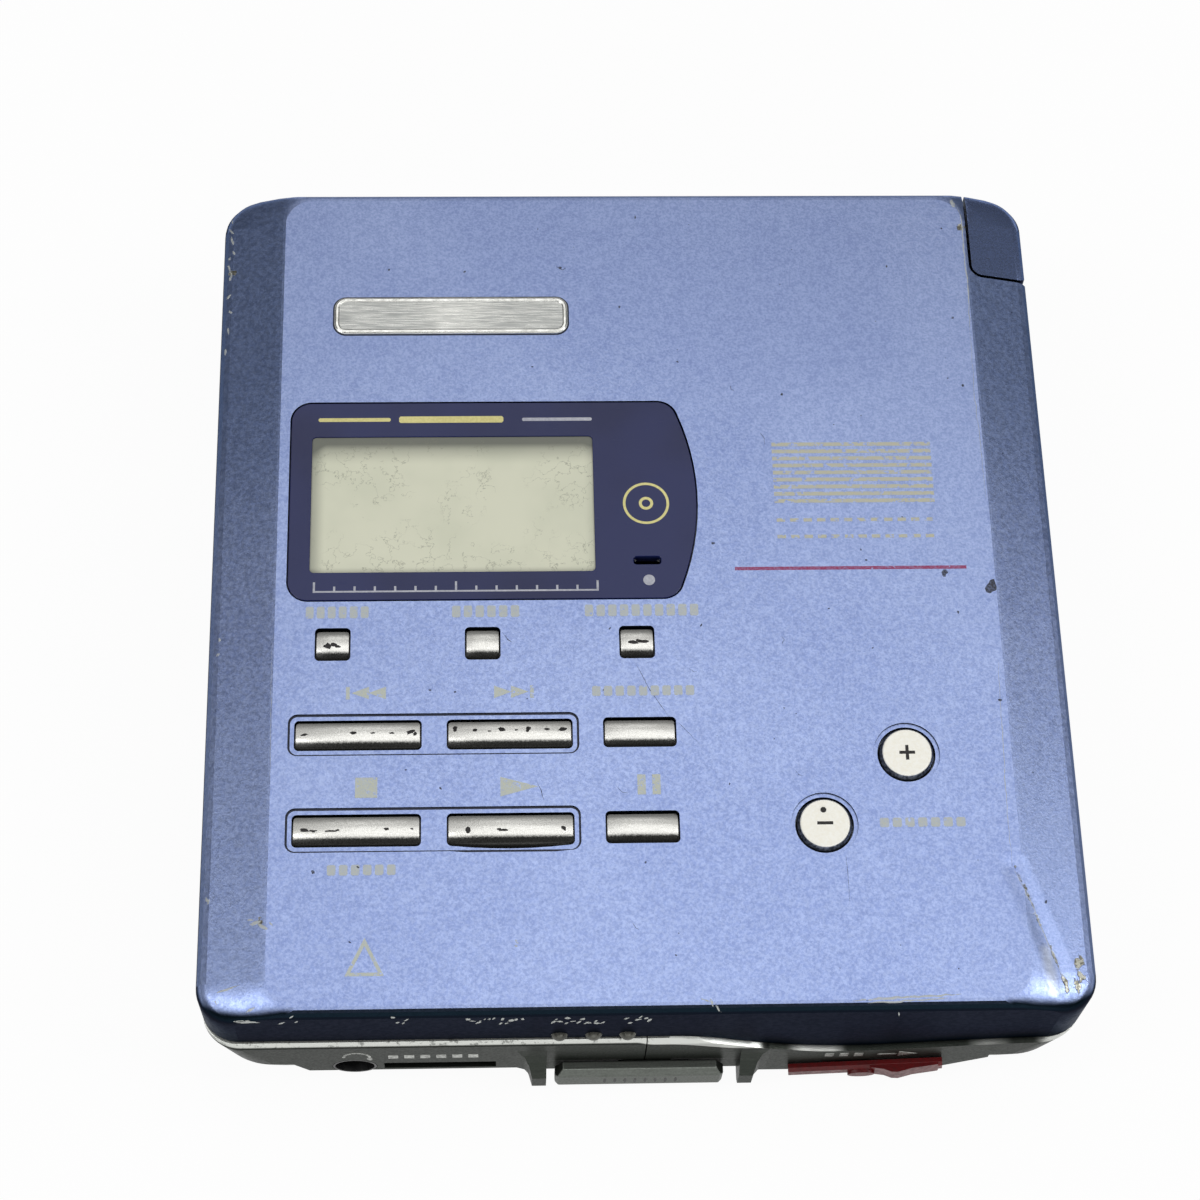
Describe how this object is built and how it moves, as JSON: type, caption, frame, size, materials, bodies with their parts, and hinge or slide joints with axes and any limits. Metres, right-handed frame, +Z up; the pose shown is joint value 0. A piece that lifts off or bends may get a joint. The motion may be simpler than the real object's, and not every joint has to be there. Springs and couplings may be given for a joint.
{
  "type": "portable minidisc recorder",
  "caption": "Pocket minidisc recorder with a hinged, bevelled lid carrying display and keys, over a case with disc mechanism, side sockets and a corner battery door.",
  "frame": {"origin": "centre of the whole outline's bounding box, on the plane it rests on", "axes": "+X to the right as the keys are read, +Y towards the lid hinge, +Z up; the open knob is on the -Y side"},
  "size_m": [0.08, 0.0866, 0.0192],
  "materials": {
    "blue_paint": "metallic, fine grain, worn",
    "slate_paint": "gloss",
    "dark_paint": "satin",
    "grey_panel": "satin, painted",
    "navy_gloss": "gloss",
    "window": "clear",
    "display": "liquid crystal panel",
    "bright_key": "polished, worn",
    "ivory_key": "polished",
    "bright_plate": "brushed",
    "dark_gloss": "gloss",
    "red_plastic": "satin",
    "black_plastic": "moulded",
    "steel": "pressed sheet",
    "bright_steel": "ground",
    "spring_bronze": "spring strip",
    "cast_alloy": "die cast",
    "motor_can": "plated can",
    "cell_can": "shrink sleeve",
    "board": "circuit board",
    "chip": "moulded packages",
    "damper": "soft",
    "lens": "coated"
  },
  "bodies": {
    "case": {"bottom_case": "dark_paint", "front_panel_left": "grey_panel", "front_panel_right": "grey_panel", "case_screws": "steel", "battery_case": "black_plastic", "battery_cell": "cell_can", "battery_terminal": "spring_bronze", "hinge_brackets": "steel", "hinge_pins": "bright_steel", "door_pin": "bright_steel", "headphone_jack": "black_plastic", "remote_socket": "black_plastic", "side_jacks": "black_plastic", "power_jack": "black_plastic", "main_board": "board", "board_chips": "chip", "mechanism_chassis": "steel", "rubber_dampers": "damper", "chassis_screws": "steel", "guide_rods": "bright_steel", "spindle_stator": "board", "sled_motor": "motor_can", "latch_spring": "spring_bronze"},
    "lid": {"lid_shell": "blue_paint", "lid_knuckles": "steel", "lid_catches": "steel", "front_studs": "dark_gloss", "name_plate": "bright_plate", "display_bezel": "navy_gloss", "lcd_window": "window", "lcd_panel": "display", "key_board": "board", "key_domes": "spring_bronze"},
    "disc_tray": {"disc_holder": "steel", "holder_springs": "spring_bronze"},
    "pickup": {"pickup_sled": "cast_alloy", "objective_lens": "lens"},
    "head_lift": {"head_arm": "steel", "recording_head": "black_plastic"},
    "sled_screw": {"lead_screw": "bright_steel"},
    "disc_spindle": {"turntable": "cast_alloy"},
    "open_latch": {"open_knob": "grey_panel", "latch_slider": "steel"},
    "record_slide": {"rec_slider": "red_plastic"},
    "hold_slide": {"hold_switch": "black_plastic"},
    "cell_door": {"battery_door": "slate_paint", "door_contact": "spring_bronze"},
    "mode_key": {"mode_button": "bright_key"},
    "display_key": {"display_button": "bright_key"},
    "search_key": {"search_button": "bright_key"},
    "rewind_key": {"rewind_button": "bright_key"},
    "forward_key": {"forward_button": "bright_key"},
    "enter_key": {"enter_button": "bright_key"},
    "stop_key": {"stop_button": "bright_key"},
    "play_key": {"play_button": "bright_key"},
    "pause_key": {"pause_button": "bright_key"},
    "volume_up_key": {"volume_up_button": "ivory_key"},
    "volume_down_key": {"volume_down_button": "ivory_key"}
  },
  "joints": [
    {"name": "lid_hinge", "type": "hinge", "parent": "case", "child": "lid", "pos_m": [0, 0.04175, 0.01695], "axis": [-1, 0, 0], "range_deg": [0, 30]},
    {"name": "disc_tray_tilt", "type": "hinge", "parent": "case", "child": "disc_tray", "pos_m": [0, 0.0329, 0.0129], "axis": [-1, 0, 0], "range_deg": [0, 16.5]},
    {"name": "sled_slide", "type": "slide", "parent": "case", "child": "pickup", "axis": [1, 0, 0], "range_m": [0, 0.016]},
    {"name": "head_arm_tilt", "type": "hinge", "parent": "pickup", "child": "head_lift", "pos_m": [0.0158, 0.0329, 0.0129], "axis": [-1, 0, 0], "range_deg": [0, 16.5]},
    {"name": "lead_screw_turn", "type": "hinge", "parent": "case", "child": "sled_screw", "pos_m": [0, 0.0185, 0.0062], "axis": [1, 0, 0], "range_deg": [0, 3840]},
    {"name": "spindle_turn", "type": "hinge", "parent": "case", "child": "disc_spindle", "pos_m": [0, -0.0029, 0], "axis": [0, 0, 1], "continuous": true},
    {"name": "open_knob_slide", "type": "slide", "parent": "case", "child": "open_latch", "axis": [1, 0, 0], "range_m": [0, 0.0012], "stiffness_N_per_m": 500},
    {"name": "rec_slide", "type": "slide", "parent": "case", "child": "record_slide", "axis": [1, 0, 0], "range_m": [0, 0.002], "stiffness_N_per_m": 300},
    {"name": "hold_switch_slide", "type": "slide", "parent": "case", "child": "hold_slide", "axis": [0, 1, 0], "range_m": [0, 0.0018]},
    {"name": "battery_door_hinge", "type": "hinge", "parent": "case", "child": "cell_door", "pos_m": [0.039, 0.0348, 0], "axis": [0, 0, -1], "range_deg": [0, 90]},
    {"name": "mode_key_press", "type": "slide", "parent": "lid", "child": "mode_key", "axis": [0, 0, -1], "range_m": [0, 0.00035], "stiffness_N_per_m": 1500},
    {"name": "display_key_press", "type": "slide", "parent": "lid", "child": "display_key", "axis": [0, 0, -1], "range_m": [0, 0.00035], "stiffness_N_per_m": 1500},
    {"name": "search_key_press", "type": "slide", "parent": "lid", "child": "search_key", "axis": [0, 0, -1], "range_m": [0, 0.00035], "stiffness_N_per_m": 1500},
    {"name": "rewind_key_press", "type": "slide", "parent": "lid", "child": "rewind_key", "axis": [0, 0, -1], "range_m": [0, 0.00035], "stiffness_N_per_m": 1500},
    {"name": "forward_key_press", "type": "slide", "parent": "lid", "child": "forward_key", "axis": [0, 0, -1], "range_m": [0, 0.00035], "stiffness_N_per_m": 1500},
    {"name": "enter_key_press", "type": "slide", "parent": "lid", "child": "enter_key", "axis": [0, 0, -1], "range_m": [0, 0.00035], "stiffness_N_per_m": 1500},
    {"name": "stop_key_press", "type": "slide", "parent": "lid", "child": "stop_key", "axis": [0, 0, -1], "range_m": [0, 0.00035], "stiffness_N_per_m": 1500},
    {"name": "play_key_press", "type": "slide", "parent": "lid", "child": "play_key", "axis": [0, 0, -1], "range_m": [0, 0.00035], "stiffness_N_per_m": 1500},
    {"name": "pause_key_press", "type": "slide", "parent": "lid", "child": "pause_key", "axis": [0, 0, -1], "range_m": [0, 0.00035], "stiffness_N_per_m": 1500},
    {"name": "volume_up_key_press", "type": "slide", "parent": "lid", "child": "volume_up_key", "axis": [0, 0, -1], "range_m": [0, 0.00035], "stiffness_N_per_m": 1500},
    {"name": "volume_down_key_press", "type": "slide", "parent": "lid", "child": "volume_down_key", "axis": [0, 0, -1], "range_m": [0, 0.00035], "stiffness_N_per_m": 1500}
  ],
  "couplings": [
    {"joint": "disc_tray_tilt", "follows": "lid_hinge", "ratio": 0.55},
    {"joint": "head_arm_tilt", "follows": "lid_hinge", "ratio": 0.55},
    {"joint": "lead_screw_turn", "follows": "sled_slide", "rad_per_m": 4188.8}
  ]
}
